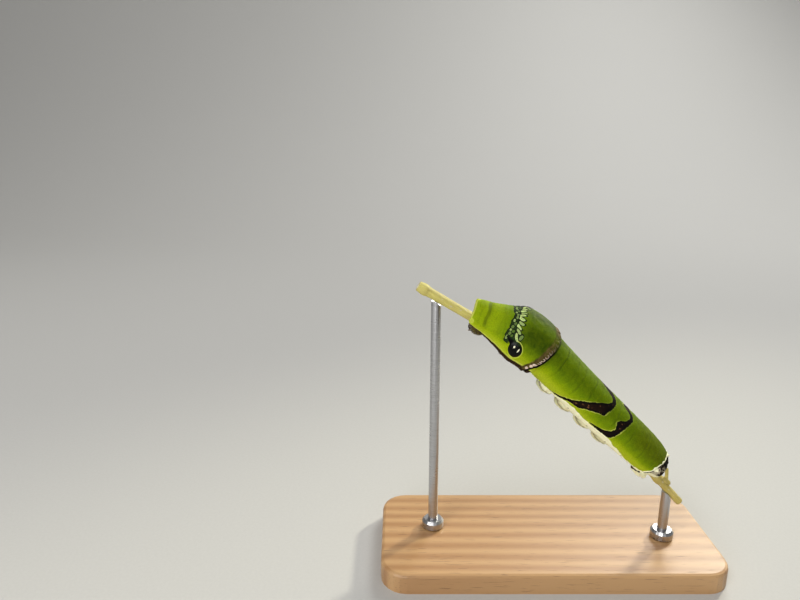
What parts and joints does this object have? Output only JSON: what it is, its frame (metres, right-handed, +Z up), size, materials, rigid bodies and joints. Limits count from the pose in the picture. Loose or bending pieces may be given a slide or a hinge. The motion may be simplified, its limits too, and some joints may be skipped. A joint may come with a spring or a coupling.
{
  "type": "swallowtail larva on a stem",
  "caption": "Still life-size model of a full-grown spangle swallowtail larva resting on a short cut length of stem, held by a flat base and rods",
  "frame": {"origin": "centre of the underside of the stand's base, on the surface that it stands on", "axes": "+Z up; the larva's head end points to -X and up, its tail to +X and down, its back leans towards -Y"},
  "size_m": [0.066, 0.027, 0.0559],
  "materials": {
    "shield_green": "satin skin, yellow-green with dark bands, finely granular",
    "leg_white": "soft greyish white skin with brown marks",
    "head_brown": "glossy olive-brown horn",
    "leg_brown": "glossy dark brown horn",
    "stem_ochre": "young green-ochre bark with pale pores",
    "base_wood": "oiled wood with a satin sheen",
    "rod_steel": "finely brushed steel"
  },
  "bodies": {
    "root": {"head": "head_brown", "thorax_1": "shield_green", "thorax_2": "shield_green", "thorax_3": "shield_green", "abdomen_1": "shield_green", "abdomen_2": "shield_green", "abdomen_3": "shield_green", "abdomen_4": "shield_green", "abdomen_5": "shield_green", "abdomen_6": "shield_green", "abdomen_7": "shield_green", "abdomen_8": "shield_green", "abdomen_9": "shield_green", "abdomen_10": "shield_green", "leg_1_left": "leg_brown", "leg_1_right": "leg_brown", "leg_2_left": "leg_brown", "leg_2_right": "leg_brown", "leg_3_left": "leg_brown", "leg_3_right": "leg_brown", "proleg_abdomen_3_left": "leg_white", "proleg_abdomen_3_right": "leg_white", "proleg_abdomen_4_left": "leg_white", "proleg_abdomen_4_right": "leg_white", "proleg_abdomen_5_left": "leg_white", "proleg_abdomen_5_right": "leg_white", "proleg_abdomen_6_left": "leg_white", "proleg_abdomen_6_right": "leg_white", "proleg_abdomen_10_left": "leg_white", "proleg_abdomen_10_right": "leg_white", "stem": "stem_ochre", "stand_base": "base_wood", "stand_rod_front": "rod_steel", "stand_rod_rear": "rod_steel"}
  },
  "joints": []
}
